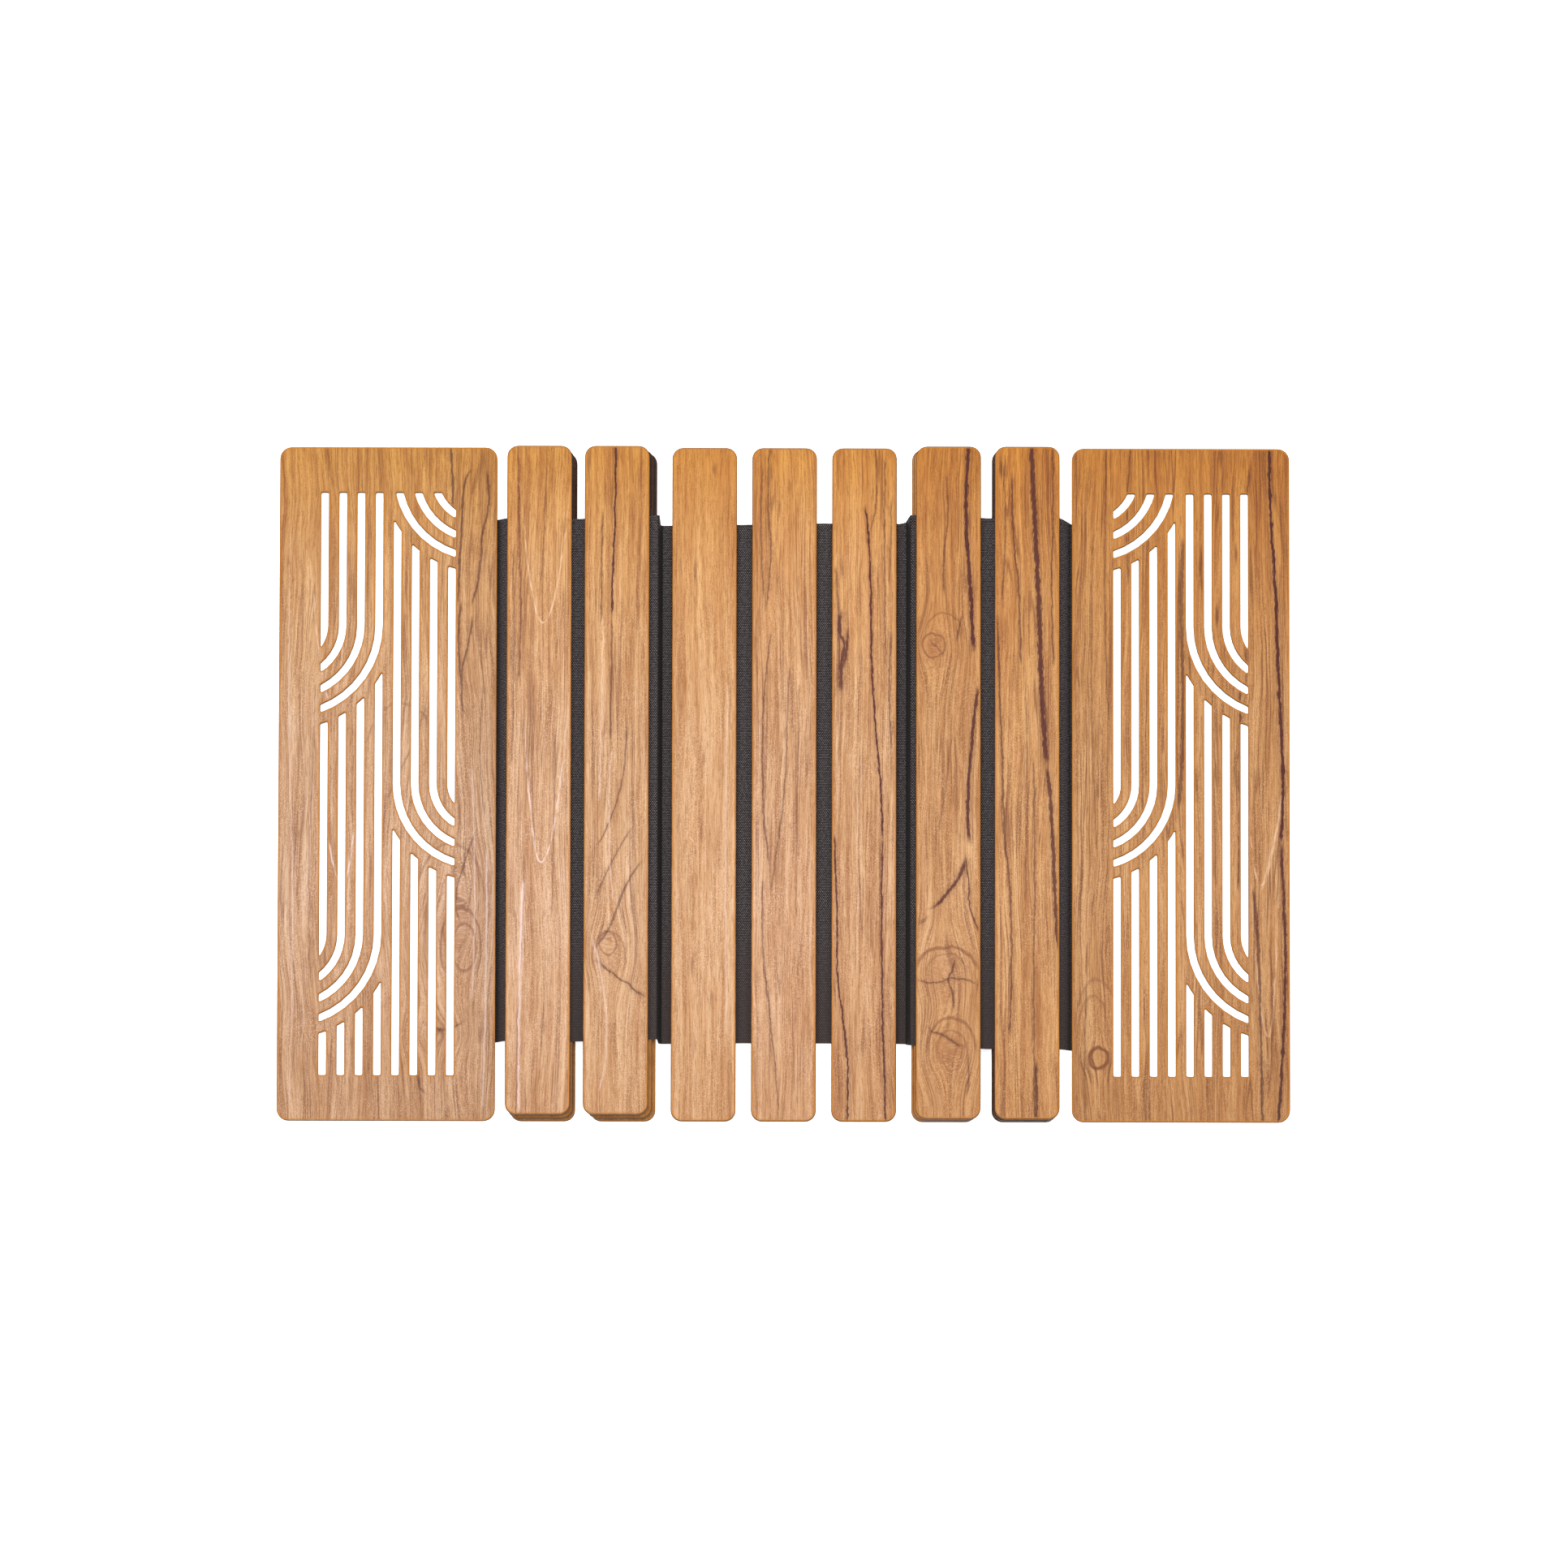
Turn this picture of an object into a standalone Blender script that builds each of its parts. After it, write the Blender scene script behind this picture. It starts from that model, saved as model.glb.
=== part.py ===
"""A slatted bath mat that folds: two pierced end panels and seven slats on one backing cloth.

Run it with: blender --background --python part.py

+X runs along the mat, +Y along the slats and +Z up. The origin is on the floor under the middle of
the mat. The wooden plates are laser-cut plywood, glued on top of the cloth, and the cloth bends in the
gap between two plates. The two slats next to each end panel stand on a pair of riser plies under the
cloth, so they are higher than their neighbours, and the cloth drops from them to the floor. On the
floor the gaps are all the same, but each raised stack leans, so its top slat sits further out.
"""

import math
from dataclasses import dataclass

import bmesh
import bpy
from mathutils import Matrix, Vector

MM = 0.001

# Overall sizes.
MAT_WIDTH = 402 * MM  # along Y, the length of the flat slats and of the end panels
PANEL_LENGTH = 129.25 * MM  # of an end panel along X
SLAT_WIDTH = 38.5 * MM
FLOOR_GAP = 9 * MM  # between neighbours, measured on the floor
PLY = 4 * MM  # thickness of every plywood plate
GLUE = 0.3 * MM  # between one layer and the next

# The backing cloth.
CLOTH = 0.7 * MM  # thickness
CLOTH_WIDTH = 312 * MM  # along Y
CLOTH_TAB = 22 * MM  # how far the cloth runs under an end panel
SLAT_LANDING = 2.8 * MM  # how far it lies on the floor outside a flat slat before it climbs
PANEL_LANDING = 1 * MM  # the same outside an end panel
FOLD_CLEARANCE = 0.45 * MM  # each unit's cloth stops this far from the line where it bends

# Corners.
SLAT_CORNER = 6.5 * MM
PANEL_CORNER = 7 * MM
CORNER_STEP = math.radians(15)  # a rounded corner has a point this often

# The pierced pattern: slots side by side that run along Y and sweep out to the pattern's two long sides.
SLOT = 4.5 * MM  # width of a slot
SLOT_PITCH = 10.8 * MM
SLOTS_PER_HALF = 4
PATTERN_HEIGHT = 348 * MM  # along Y
SWEEP_PERIOD = 184.5 * MM  # from one sweep to the next below it
OUTER_FIRST_SWEEP = 79.5 * MM  # from the pattern's back edge to the centre of the first sweep
INNER_FIRST_SWEEP = -10.4 * MM
OUTER_SWEEP_OFFSET = 18.8 * MM  # the centres of the sweeps lie this far outside the pattern
INNER_SWEEP_OFFSET = 14.4 * MM
SWEEP_STEP = math.radians(9)  # a sweep has a point this often
SLOT_CORNER = 0.8 * MM
LEAST_SLOT = 3 * MM  # a clipped slot smaller than this isn't cut

# The raised slats stand on this many plies, each of which steps out from under the one above.
RISER_PLIES = 2
RISER_HEIGHT = RISER_PLIES * (PLY + GLUE)


@dataclass(frozen=True)
class Slat:
    """A slat and how far the lowest ply of its stack steps out: along X to the middle, along -Y."""

    name: str
    lean_x: float = 0.0
    lean_y: float = 0.0


SLATS = (
    Slat("slat_1", 3.0 * MM, 3.0 * MM),
    Slat("slat_2", 4.4 * MM, 3.0 * MM),
    Slat("slat_3"),
    Slat("slat_4"),
    Slat("slat_5"),
    Slat("slat_6", 2.4 * MM, 0.8 * MM),
    Slat("slat_7", 1.6 * MM, 0.8 * MM),
)


@dataclass(frozen=True)
class Material:
    """A plain finish: colour, roughness and how metallic it is."""

    name: str
    colour: tuple
    roughness: float
    metallic: float = 0.0

    def make(self):
        material = bpy.data.materials.new(self.name)
        material.use_nodes = True
        shader = material.node_tree.nodes["Principled BSDF"]
        shader.inputs["Base Color"].default_value = (*self.colour, 1)
        shader.inputs["Roughness"].default_value = self.roughness
        shader.inputs["Metallic"].default_value = self.metallic
        return material


@dataclass(frozen=True)
class Unit:
    """One rigid part of the mat: a plate, what is under it and the cloth that is glued to it."""

    name: str
    floor_x: float  # the low X edge of what stands on the floor
    width: float
    inwards: int  # +1 or -1 along X towards the middle of the mat, 0 at the middle
    lean_x: float = 0.0
    lean_y: float = 0.0

    @property
    def raised(self):
        return self.lean_x > 0

    @property
    def is_panel(self):
        return self.name.endswith("panel")

    @property
    def landing(self):
        return PANEL_LANDING if self.is_panel else SLAT_LANDING

    @property
    def plate_x(self):
        """The low X edge of the plate, which leans outwards on a raised stack."""
        return self.floor_x - self.inwards * self.lean_x

    @property
    def centre_x(self):
        return self.plate_x + self.width / 2

    @property
    def length(self):
        """Along Y. A leaning stack's plies are shorter, so that it stays within the mat's width."""
        return MAT_WIDTH - self.lean_y

    @property
    def cloth_z(self):
        """The middle of the cloth under the plate."""
        return (RISER_HEIGHT if self.raised else 0) + CLOTH / 2

    @property
    def plate_z(self):
        """The underside of the plate."""
        return self.cloth_z + CLOTH / 2 + GLUE

    def cloth_edge(self, side):
        """Where the flat cloth ends on one side, -1 or +1: at whichever layer sticks out further."""
        floor_edge, plate_edge = (
            x + (self.width if side > 0 else 0) for x in (self.floor_x, self.plate_x)
        )
        return Vector((side * max(side * floor_edge, side * plate_edge), self.cloth_z))


def mat_units():
    """The nine units from left to right."""
    total = 2 * PANEL_LENGTH + len(SLATS) * SLAT_WIDTH + (len(SLATS) + 1) * FLOOR_GAP
    middle = len(SLATS) // 2
    units = [Unit("left_panel", -total / 2, PANEL_LENGTH, 1)]
    x = -total / 2 + PANEL_LENGTH + FLOOR_GAP
    for number, slat in enumerate(SLATS):
        inwards = (number < middle) - (number > middle)
        units.append(Unit(slat.name, x, SLAT_WIDTH, inwards, slat.lean_x, slat.lean_y))
        x += SLAT_WIDTH + FLOOR_GAP
    return units + [Unit("right_panel", x, PANEL_LENGTH, -1)]


def cloth_ends(left, right):
    """Where the cloth leaves a unit and where it reaches the next, in X and Z on its middle."""
    start, end = left.cloth_edge(1), right.cloth_edge(-1)
    if left.cloth_z < right.cloth_z:
        start.x += left.landing
    if left.cloth_z > right.cloth_z:
        end.x -= right.landing
    return start, end


def fold_point(left, right):
    """The line between two units where the cloth bends, as X and Z."""
    start, end = cloth_ends(left, right)
    return (start + end) / 2


# ---- outlines -------------------------------------------------------------------------------------


def arc(centre, radius, start, end, step):
    """Points along an arc, both ends included, with angles in radians."""
    count = max(1, math.ceil(abs(end - start) / step))
    angles = [start + (end - start) * i / count for i in range(count + 1)]
    return [centre + radius * Vector((math.cos(a), math.sin(a))) for a in angles]


def rounded_corners(points, radius_wanted, step):
    """The outline with its sharp corners replaced by arcs, each limited by its shorter side."""
    rounded = []
    for i, corner in enumerate(points):
        before = points[i - 1] - corner
        after = points[(i + 1) % len(points)] - corner
        turn = math.pi - before.angle(after)
        room = 0.45 * min(before.length, after.length)
        if turn < math.radians(25):
            rounded.append(corner)
            continue
        reach = min(radius_wanted * math.tan(turn / 2), room)
        radius = reach / math.tan(turn / 2)
        middle = (before.normalized() + after.normalized()).normalized()
        centre = corner + middle * math.hypot(radius, reach)
        first = corner + before.normalized() * reach - centre
        sign = math.copysign(1, after.x * before.y - after.y * before.x)
        start = math.atan2(first.y, first.x)
        rounded += arc(centre, radius, start, start + sign * turn, step)
    return rounded


def plate_outline(width, length, radius):
    """A rectangle about the origin with rounded corners."""
    corners = [(-1, -1), (1, -1), (1, 1), (-1, 1)]
    points = [Vector((x * width / 2, y * length / 2)) for x, y in corners]
    return rounded_corners(points, radius, CORNER_STEP)


@dataclass(frozen=True)
class HalfPattern:
    """The slots of half the pattern. u is measured from its long side and v from its back edge."""

    first_sweep: float
    offset: float

    @property
    def sweeps(self):
        """The centres of the sweeps that fit, as v."""
        room = PATTERN_HEIGHT - SLOTS_PER_HALF * SLOT_PITCH
        count = math.ceil((room - self.first_sweep) / SWEEP_PERIOD)
        return [self.first_sweep + i * SWEEP_PERIOD for i in range(count)]

    def back_end(self, near_u, far_u, above):
        """The back end of a slot: straight at the pattern's edge, or along the sweep above it."""
        if above is None:
            return [Vector((near_u, 0)), Vector((far_u, 0))]
        radius = self.offset + SLOTS_PER_HALF * SLOT_PITCH
        return [
            Vector((u, above + math.sqrt(radius**2 - (u + self.offset) ** 2)))
            for u in (near_u, (near_u + far_u) / 2, far_u)
        ]

    def sweep(self, near_u, far_u, below):
        """The front end of a slot, where it sweeps round a centre and out to the pattern's side."""
        centre = Vector((-self.offset, below))
        inner, outer = self.offset + near_u, self.offset + far_u
        outer_end = math.acos(self.offset / outer)
        outer_start = math.asin(max(0, -below / outer))
        if outer_start >= outer_end:
            return []
        points = arc(centre, outer, outer_start, outer_end, SWEEP_STEP)
        if near_u <= 0:
            return points + [Vector((0, max(0, below)))]
        inner_end = math.acos(self.offset / inner)
        inner_start = math.asin(max(0, -below / inner))
        if inner_start >= inner_end:
            return points + [Vector((0, 0))]
        return points + arc(centre, inner, inner_end, inner_start, SWEEP_STEP)

    def outline(self, near_u, far_u, above, below):
        """One slot, from the sweep above it to the sweep below it."""
        if below is None:
            front_end = [Vector((far_u, PATTERN_HEIGHT)), Vector((near_u, PATTERN_HEIGHT))]
            return self.back_end(near_u, far_u, above) + front_end
        if below < 0:
            return self.sweep(near_u, far_u, below)
        return self.back_end(near_u, far_u, above) + self.sweep(near_u, far_u, below)

    def slots(self):
        slots = []
        for i in range(SLOTS_PER_HALF):
            near_u = i * SLOT_PITCH
            for above, below in zip([None] + self.sweeps, self.sweeps + [None]):
                outline = self.outline(near_u, near_u + SLOT, above, below)
                if outline and max(p.y for p in outline) - min(p.y for p in outline) > LEAST_SLOT:
                    slots.append(rounded_corners(outline, SLOT_CORNER, math.radians(45)))
        return slots


def panel_slots(outer_side):
    """The slots of an end panel about its centre. outer_side is -1 or +1 along X."""
    half_width = (2 * SLOTS_PER_HALF - 1) * SLOT_PITCH / 2 + SLOT / 2
    halves = {
        outer_side: HalfPattern(OUTER_FIRST_SWEEP, OUTER_SWEEP_OFFSET),
        -outer_side: HalfPattern(INNER_FIRST_SWEEP, INNER_SWEEP_OFFSET),
    }
    return [
        [Vector((side * (half_width - p.x), PATTERN_HEIGHT / 2 - p.y)) for p in outline]
        for side, half in halves.items()
        for outline in half.slots()
    ]


# ---- solids ---------------------------------------------------------------------------------------


def loop_edges(bm, points, place):
    """A closed ring of edges through the points."""
    vertices = [bm.verts.new(place(p)) for p in points]
    return [bm.edges.new((a, b)) for a, b in zip(vertices, vertices[1:] + vertices[:1])]


def extruded(name, outlines, place, along, material):
    """A solid from a flat outline, with any further outlines as holes, pushed along a direction."""
    bm = bmesh.new()
    edges = [edge for outline in outlines for edge in loop_edges(bm, outline, place)]
    filled = bmesh.ops.triangle_fill(bm, use_beauty=True, use_dissolve=False, edges=edges)
    faces = [f for f in filled["geom"] if isinstance(f, bmesh.types.BMFace)]
    grown = bmesh.ops.extrude_face_region(bm, geom=faces, use_keep_orig=True)
    moved = [v for v in grown["geom"] if isinstance(v, bmesh.types.BMVert)]
    bmesh.ops.translate(bm, vec=along, verts=moved)
    bmesh.ops.recalc_face_normals(bm, faces=bm.faces)
    mesh = bpy.data.meshes.new(name)
    bm.to_mesh(mesh)
    bm.free()
    mesh.materials.append(material)
    mesh.shade_smooth()
    mesh.set_sharp_from_angle(angle=math.radians(30))
    solid = bpy.data.objects.new(name, mesh)
    bpy.context.scene.collection.objects.link(solid)
    return solid


def plate(name, outlines, material):
    """A plywood plate that lies flat, its underside at its origin."""
    return extruded(name, outlines, lambda p: (p.x, p.y, 0), Vector((0, 0, PLY)), material)


def strip_outline(path):
    """The section of the cloth along a path: its thickness on both sides, mitred at the bends."""
    sides = []
    for i, point in enumerate(path):
        directions = [
            (path[j + 1] - path[j]).normalized() for j in (i - 1, i) if 0 <= j < len(path) - 1
        ]
        along = sum(directions, Vector((0, 0))).normalized()
        mitre = 1 / max(0.5, along.dot(directions[0]))
        sides.append((point, Vector((-along.y, along.x)) * mitre * CLOTH / 2))
    return [p - n for p, n in sides] + [p + n for p, n in reversed(sides)]


def cloth_path(index, units):
    """The middle of the cloth that is glued to a unit, from fold line to fold line."""
    unit = units[index]
    path = []
    for side in (-1, 1):
        if not 0 <= index + side < len(units):
            tab_end = unit.cloth_edge(-side) + Vector((side * CLOTH_TAB, 0))
            path.append(tab_end)
            continue
        left, right = (units[index - 1], unit) if side < 0 else (unit, units[index + 1])
        own_end = cloth_ends(left, right)[1 if side < 0 else 0]
        fold = fold_point(left, right)
        free_end = fold + (own_end - fold).normalized() * FOLD_CLEARANCE
        path += [free_end, own_end] if side < 0 else [own_end, free_end]
    return path


def cloth_piece(name, path, origin_x, material):
    """The cloth glued to one unit, its section in X and Z pushed along Y about its origin."""
    section = [Vector((p.x - origin_x, p.y)) for p in strip_outline(path)]
    return extruded(
        name,
        [section],
        lambda p: (p.x, CLOTH_WIDTH / 2, p.y),
        Vector((0, -CLOTH_WIDTH, 0)),
        material,
    )


def riser_plies(unit, material):
    """The plies under a raised slat, lowest first, each stepped out from the one above."""
    outline = plate_outline(unit.width, unit.length, SLAT_CORNER)
    plies = []
    for level in range(RISER_PLIES):
        level_name = {0: "lower", RISER_PLIES - 1: "upper"}.get(level, f"middle_{level}")
        solid = plate(f"riser_{level_name}_{unit.name[-1]}", [outline], material)
        step = 1 - level / RISER_PLIES
        solid.location = (
            unit.centre_x + unit.inwards * unit.lean_x * step,
            unit.lean_y * (0.5 - step),
            level * (PLY + GLUE),
        )
        plies.append(solid)
    return plies


def slat_plate(unit, material):
    """The top plate of a slat."""
    outline = plate_outline(unit.width, unit.length, SLAT_CORNER)
    solid = plate(unit.name, [outline], material)
    solid.location = (unit.centre_x, unit.lean_y / 2, unit.plate_z)
    return solid


def end_panel(unit, material):
    """An end panel with its pierced pattern."""
    outline = plate_outline(unit.width, unit.length, PANEL_CORNER)
    solid = plate(f"end_{unit.name}", [outline] + panel_slots(-unit.inwards), material)
    solid.location = (unit.centre_x, 0, unit.plate_z)
    return solid


def fold_empty(name, point):
    """An empty on a fold line, which carries the unit that turns about it."""
    empty = bpy.data.objects.new(name, None)
    empty.empty_display_size = SLAT_WIDTH / 2
    empty.location = (point.x, 0, point.y)
    bpy.context.scene.collection.objects.link(empty)
    return empty


def keep_in_place(child, parent):
    """Parents an object, which stays where it is."""
    place = child.matrix_world.copy()
    child.parent = parent
    child.matrix_parent_inverse = Matrix.Identity(4)
    child.location = parent.matrix_world.inverted() @ place.translation


def build():
    """Makes every piece, and hangs each unit on the fold line that it turns about."""
    for old in list(bpy.data.objects):
        bpy.data.objects.remove(old, do_unlink=True)
    wood = Material("teak_face_ply", (0.54, 0.30, 0.13), 0.45).make()
    bare_ply = Material("laser_cut_ply", (0.32, 0.17, 0.07), 0.7).make()
    cloth = Material("black_oxford_cloth", (0.022, 0.021, 0.022), 0.85).make()

    units = mat_units()
    root = len(units) // 2
    pieces = []
    for index, unit in enumerate(units):
        glued = cloth_piece(f"cloth_{unit.name}", cloth_path(index, units), unit.centre_x, cloth)
        glued.location.x = unit.centre_x
        make_plate = end_panel if unit.is_panel else slat_plate
        parts = [make_plate(unit, wood), glued]
        if unit.raised:
            parts += riser_plies(unit, bare_ply)
        pieces.append(parts)

    folds = {root: fold_empty("mat", Vector((0, 0)))}
    for index in [*range(root - 1, -1, -1), *range(root + 1, len(units))]:
        left = min(index, index + (1 if index < root else -1))
        folds[index] = fold_empty(f"fold_{units[index].name}", fold_point(*units[left : left + 2]))
    bpy.context.view_layer.update()
    for index, empty in folds.items():
        if index != root:
            keep_in_place(empty, folds[index + (1 if index < root else -1)])
            bpy.context.view_layer.update()
        for part in pieces[index]:
            keep_in_place(part, empty)


build()
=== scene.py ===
"""The looks of a folding bath mat: pierced teak end panels and teak slats on a black cloth.

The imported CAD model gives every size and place. This script rebuilds each plate with softened,
scorched edges and its own veneer, lays one woven cloth through all the folds, and sets up a plain
white studio. Lengths are in metres, except where a name or a docstring says millimetres.
"""

from __future__ import annotations

import logging
import math
from dataclasses import dataclass, field
from enum import Enum
from itertools import pairwise

import bmesh
import bpy
from bpy.types import Material, Mesh, Node, NodeSocket, Object
from mathutils import Euler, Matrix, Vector

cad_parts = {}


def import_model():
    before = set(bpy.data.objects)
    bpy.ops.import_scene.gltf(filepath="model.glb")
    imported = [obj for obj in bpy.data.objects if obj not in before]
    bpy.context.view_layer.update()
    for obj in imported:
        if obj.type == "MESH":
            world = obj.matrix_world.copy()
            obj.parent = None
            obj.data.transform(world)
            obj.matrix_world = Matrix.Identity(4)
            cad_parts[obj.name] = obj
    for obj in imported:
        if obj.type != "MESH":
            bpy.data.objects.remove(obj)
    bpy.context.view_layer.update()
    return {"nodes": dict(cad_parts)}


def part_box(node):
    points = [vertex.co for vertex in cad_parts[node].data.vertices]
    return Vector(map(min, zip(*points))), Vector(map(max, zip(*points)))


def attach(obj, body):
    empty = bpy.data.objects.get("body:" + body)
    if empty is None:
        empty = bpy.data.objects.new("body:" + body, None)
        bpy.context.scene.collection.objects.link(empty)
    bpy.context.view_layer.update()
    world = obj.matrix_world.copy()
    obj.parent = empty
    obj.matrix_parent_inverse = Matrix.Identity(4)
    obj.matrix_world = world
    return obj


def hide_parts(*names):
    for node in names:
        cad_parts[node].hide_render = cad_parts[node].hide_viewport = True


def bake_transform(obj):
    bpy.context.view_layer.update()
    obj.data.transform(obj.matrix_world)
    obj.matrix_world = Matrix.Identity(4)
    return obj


LOG = logging.getLogger("bath_mat")
MM = 0.001

UNITS = ("left_panel", *(f"slat_{i}" for i in range(1, 8)), "right_panel")

Colour = tuple[float, float, float]
Value = float | NodeSocket


class Op(Enum):
    """The sums that the shaders use."""

    ADD = "ADD"
    SUBTRACT = "SUBTRACT"
    MULTIPLY = "MULTIPLY"
    DIVIDE = "DIVIDE"
    ABSOLUTE = "ABSOLUTE"
    MAXIMUM = "MAXIMUM"
    SINE = "SINE"
    EXPONENT = "EXPONENT"
    GREATER_THAN = "GREATER_THAN"
    SQRT = "SQRT"


class Blend(Enum):
    """The ways that one colour goes over another."""

    MIX = "MIX"
    MULTIPLY = "MULTIPLY"


class Graph:
    """A material's node tree, built call by call."""

    def __init__(self, name: str) -> None:
        """Starts a material with a Principled BSDF that is joined to its output.

        Args:
            name: The material's name.
        """
        self.material: Material = bpy.data.materials.new(name)
        self.material.use_nodes = True
        self.tree = self.material.node_tree
        self.tree.nodes.clear()
        self.surface = self.node("ShaderNodeBsdfPrincipled")
        output = self.node("ShaderNodeOutputMaterial")
        self.tree.links.new(self.surface.outputs[0], output.inputs[0])

    def node(self, kind: str, **settings: object) -> Node:
        """Adds a node and sets its properties.

        Args:
            kind: The node's type name.
            settings: Its properties by name.

        Returns:
            The node.
        """
        node = self.tree.nodes.new(kind)
        for key, value in settings.items():
            setattr(node, key, value)
        return node

    def feed(self, target: NodeSocket, value: object) -> None:
        """Links a socket to an input, or sets the input to a plain value."""
        if isinstance(value, NodeSocket):
            self.tree.links.new(value, target)
        else:
            target.default_value = value

    def sum(self, op: Op, *values: Value) -> NodeSocket:
        """Does one sum.

        Args:
            op: The sum.
            values: Its one or two numbers or sockets.

        Returns:
            The result.
        """
        node = self.node("ShaderNodeMath", operation=op.value)
        for target, value in zip(node.inputs, values):
            self.feed(target, value)
        return node.outputs[0]

    def add(self, a: Value, b: Value) -> NodeSocket:
        """a + b."""
        return self.sum(Op.ADD, a, b)

    def times(self, a: Value, *more: Value) -> NodeSocket:
        """a times every other value, in turn."""
        for b in more:
            a = self.sum(Op.MULTIPLY, a, b)
        return a

    def less(self, a: Value, b: Value) -> NodeSocket:
        """a - b."""
        return self.sum(Op.SUBTRACT, a, b)

    def between(self, value: Value, low: Value, high: Value) -> NodeSocket:
        """Goes smoothly from 0 at low to 1 at high. Low may be the larger one."""
        node = self.node("ShaderNodeMapRange", interpolation_type="SMOOTHSTEP")
        for key, x in {"Value": value, "From Min": low, "From Max": high}.items():
            self.feed(node.inputs[key], x)
        return node.outputs[0]

    def vector(self, x: Value, y: Value, z: Value) -> NodeSocket:
        """A vector from three numbers."""
        node = self.node("ShaderNodeCombineXYZ")
        for target, value in zip(node.inputs, (x, y, z)):
            self.feed(target, value)
        return node.outputs[0]

    def split(self, vector: NodeSocket) -> list[NodeSocket]:
        """The X, Y and Z of a vector."""
        node = self.node("ShaderNodeSeparateXYZ")
        self.feed(node.inputs[0], vector)
        return list(node.outputs)

    def noise(self, where: NodeSocket, detail: float = 2.0, roughness: float = 0.5) -> NodeSocket:
        """Noise between 0 and 1 with features about one unit across."""
        node = self.node("ShaderNodeTexNoise", noise_dimensions="3D")
        self.feed(node.inputs["Vector"], where)
        for key, x in {"Scale": 1.0, "Detail": detail, "Roughness": roughness}.items():
            node.inputs[key].default_value = x
        return node.outputs["Fac"]

    def mix(self, share: Value, a: object, b: object, blend: Blend = Blend.MIX) -> NodeSocket:
        """Puts colour b over colour a.

        Args:
            share: How much of b shows, from 0 to 1.
            a: The colour below, as three numbers or a socket.
            b: The colour above.
            blend: How it goes over.

        Returns:
            The mixed colour.
        """
        node = self.node("ShaderNodeMix", data_type="RGBA", blend_type=blend.value)
        self.feed(node.inputs["Factor"], share)
        for key, colour in (("A", a), ("B", b)):
            target = next(s for s in node.inputs if s.name == key and s.type == "RGBA")
            self.feed(target, (*colour, 1.0) if isinstance(colour, tuple) else colour)
        return next(s for s in node.outputs if s.type == "RGBA")

    def ramp(self, value: Value, stops: tuple[tuple[float, Colour], ...]) -> NodeSocket:
        """A colour for each value, between the stops' colours."""
        node = self.node("ShaderNodeValToRGB")
        elements = node.color_ramp.elements
        while len(elements) < len(stops):
            elements.new(0.5)
        for element, (place, colour) in zip(elements, stops):
            element.position, element.color = place, (*colour, 1.0)
        self.feed(node.inputs[0], value)
        return node.outputs[0]

    def curve(self, value: Value, points: list[tuple[float, float]]) -> NodeSocket:
        """A smooth curve through points whose coordinates are all within 0 and 1."""
        node = self.node("ShaderNodeFloatCurve")
        curve = node.mapping.curves[0]
        for i, point in enumerate(points):
            if i < 2:
                curve.points[i].location = point
            else:
                curve.points.new(*point)
        node.mapping.update()
        self.feed(node.inputs["Value"], value)
        return node.outputs[0]

    def bump(self, height: NodeSocket, depth: float) -> None:
        """Gives the surface relief of a depth in metres."""
        node = self.node("ShaderNodeBump")
        node.inputs["Distance"].default_value = depth
        node.inputs["Strength"].default_value = 1.0
        self.feed(node.inputs["Height"], height)
        self.feed(self.surface.inputs["Normal"], node.outputs[0])


# ---- the veneers

HALF_LENGTH_MM = 201.0
REACH_MM = 70.0  # a figure's X is within this of the plate's middle
RING_LEVELS = (0.38, 0.44, 0.49, 0.54, 0.60)  # where a slow noise crosses one, a growth line runs


@dataclass(frozen=True)
class Streak:
    """A dark or pale line in a veneer, through points (x, y) in mm from the plate's middle."""

    path: tuple[tuple[float, float], ...]
    width: float
    depth: float = 0.8
    pale: bool = False

    def runs_across(self) -> bool:
        """Whether the line goes more across the plate than along it."""
        (ax, ay), (bx, by) = self.path[0], self.path[-1]
        return abs(bx - ax) > abs(by - ay)


def line(width: float, depth: float, *path: tuple[float, float], pale: bool = False) -> Streak:
    """A streak through points (x, y)."""
    return Streak(path, width, depth, pale)


@dataclass(frozen=True)
class Knot:
    """A knot or burl that the grain bends round, in mm from the plate's middle."""

    x: float
    y: float
    radius_x: float
    radius_y: float
    shade: float = 0.3  # how much darker it is than the wood round it


@dataclass(frozen=True)
class Arc:
    """A thin growth line on an ellipse, in mm from the plate's middle."""

    x: float
    y: float
    radius_x: float
    radius_y: float
    width: float = 0.9
    depth: float = 0.5
    above: float = -2.0  # it shows only above this share of its half height


@dataclass(frozen=True)
class Vee:
    """A pale pointed figure, open to the back, in mm from the plate's middle."""

    x: float
    y: float
    left: float
    right: float
    width: float = 0.55


@dataclass(frozen=True)
class Fleck:
    """A small dark mark along the grain, in mm from the plate's middle."""

    x: float
    y: float
    radius_x: float = 1.2
    radius_y: float = 5.0
    depth: float = 0.6


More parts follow.
